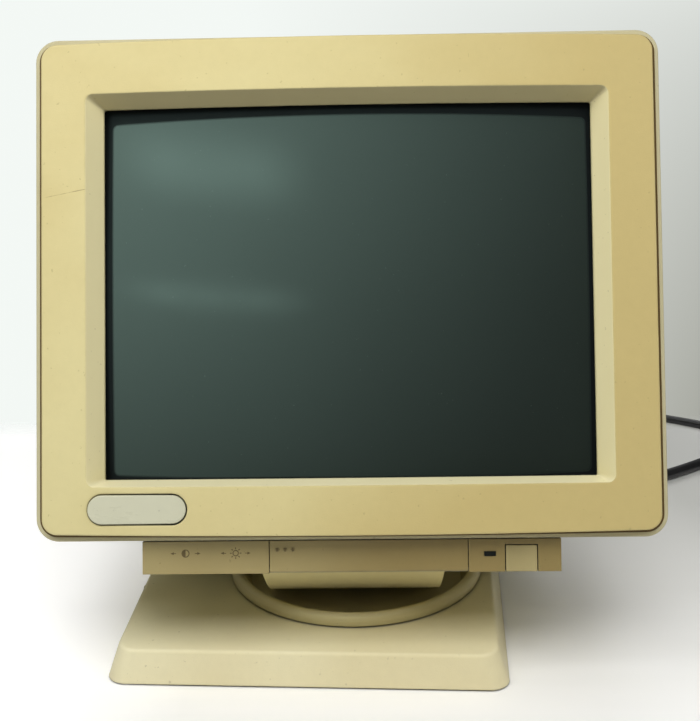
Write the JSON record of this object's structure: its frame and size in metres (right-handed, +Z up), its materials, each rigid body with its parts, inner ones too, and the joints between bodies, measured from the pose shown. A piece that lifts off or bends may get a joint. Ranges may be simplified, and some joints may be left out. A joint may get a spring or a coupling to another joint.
{
  "type": "desktop crt monitor",
  "caption": "Beige cathode-ray-tube desktop monitor on a tilt-and-swivel pedestal, with a flip-down control door and two cords.",
  "frame": {"origin": "on the table, on the axis about which the head swivels", "axes": "+X to the right of the screen, +Y towards the back, +Z up"},
  "size_m": [0.6128, 0.5917, 0.3739],
  "materials": {
    "beige_shell": "fine satin texture",
    "rubber_foot": "matt",
    "white_plastic": "satin",
    "steel": "zinc plated",
    "beige_controls": "satin",
    "beige_bezel": "fine satin texture",
    "badge": "smooth satin",
    "lens": "tinted clear",
    "black_plastic": "satin",
    "circuit_board": "phenolic board",
    "screen_glass": "dark tinted, soft-coated",
    "funnel_glass": "black graphite coat",
    "band_steel": "painted grey",
    "copper": "enamelled copper winding",
    "core": "varnished",
    "aluminium": "extruded",
    "cord_rubber": "satin PVC jacket",
    "grey_plastic": "satin"
  },
  "bodies": {
    "base": {"base_shell": "beige_shell", "base_feet": "rubber_foot", "swivel_bushing": "white_plastic", "glide_ring": "white_plastic"},
    "turntable": {"turntable": "beige_shell", "swivel_washer": "steel", "swivel_screw": "steel", "clamp_shoe": "white_plastic", "clamp_spring": "steel", "clamp_screw": "steel"},
    "head": {"saddle_foot": "beige_controls", "saddle_screws": "steel", "front_bezel": "beige_bezel", "badge_plate": "badge", "rear_cover": "beige_shell", "cover_screws": "steel", "clip_nuts": "steel", "rating_plate": "white_plastic", "control_strip": "beige_controls", "indicator_window": "lens", "indicator_lamp": "lens", "potentiometers": "black_plastic", "control_board": "circuit_board", "power_switch": "black_plastic", "tube_faceplate": "screen_glass", "tube_funnel": "funnel_glass", "implosion_band": "band_steel", "tube_screws": "steel", "degaussing_coil": "black_plastic", "deflection_yoke": "copper", "convergence_rings": "white_plastic", "neck_board": "circuit_board", "tube_socket": "white_plastic", "chassis": "steel", "stand_offs": "steel", "main_board": "circuit_board", "mains_transformer": "core", "line_output_transformer": "core", "heat_sinks": "aluminium", "capacitors": "black_plastic", "mains_inlet": "black_plastic", "mains_connector": "black_plastic", "mains_cord": "cord_rubber", "mains_cord_coil": "cord_rubber", "mains_tail": "cord_rubber", "mains_plug": "black_plastic", "signal_relief": "black_plastic", "signal_cable": "cord_rubber", "signal_cable_coil": "cord_rubber", "signal_tail": "cord_rubber", "signal_plug": "black_plastic", "plug_screws": "steel"},
    "power_button": {"power_button": "beige_controls"},
    "control_door": {"control_door": "beige_controls"},
    "contrast_wheel": {"contrast_wheel": "grey_plastic"},
    "brightness_wheel": {"brightness_wheel": "grey_plastic"},
    "trim_knob_1": {"trim_knob_1": "grey_plastic"},
    "trim_knob_2": {"trim_knob_2": "grey_plastic"},
    "trim_knob_3": {"trim_knob_3": "grey_plastic"},
    "trim_knob_4": {"trim_knob_4": "grey_plastic"}
  },
  "joints": [
    {"name": "swivel", "type": "hinge", "parent": "base", "child": "turntable", "pos_m": [0, 0, 0.0115], "axis": [0, 0, 1], "range_deg": [-47.5, 42.5]},
    {"name": "tilt", "type": "hinge", "parent": "turntable", "child": "head", "pos_m": [0, 0, 0.118], "axis": [1, 0, 0], "range_deg": [0, 25]},
    {"name": "power_press", "type": "slide", "parent": "head", "child": "power_button", "axis": [0, 0.9397, -0.342], "range_m": [0, 0.003], "stiffness_N_per_m": 500, "springref_m": -0.002},
    {"name": "door_hinge", "type": "hinge", "parent": "head", "child": "control_door", "pos_m": [0.0101, -0.12092, 0.08049], "axis": [1, 0, 0], "range_deg": [0, 90]},
    {"name": "contrast_turn", "type": "hinge", "parent": "head", "child": "contrast_wheel", "pos_m": [-0.0955, -0.10398, 0.08231], "axis": [0, 0.9397, -0.342], "range_deg": [-135, 135]},
    {"name": "brightness_turn", "type": "hinge", "parent": "head", "child": "brightness_wheel", "pos_m": [-0.0665, -0.10398, 0.08231], "axis": [0, 0.9397, -0.342], "range_deg": [-135, 135]},
    {"name": "trim_turn_1", "type": "hinge", "parent": "head", "child": "trim_knob_1", "pos_m": [-0.0229, -0.11003, 0.08467], "axis": [0, 0.9397, -0.342], "range_deg": [-150, 150]},
    {"name": "trim_turn_2", "type": "hinge", "parent": "head", "child": "trim_knob_2", "pos_m": [-0.0009, -0.11003, 0.08467], "axis": [0, 0.9397, -0.342], "range_deg": [-150, 150]},
    {"name": "trim_turn_3", "type": "hinge", "parent": "head", "child": "trim_knob_3", "pos_m": [0.0211, -0.11003, 0.08467], "axis": [0, 0.9397, -0.342], "range_deg": [-150, 150]},
    {"name": "trim_turn_4", "type": "hinge", "parent": "head", "child": "trim_knob_4", "pos_m": [0.0431, -0.11003, 0.08467], "axis": [0, 0.9397, -0.342], "range_deg": [-150, 150]}
  ]
}
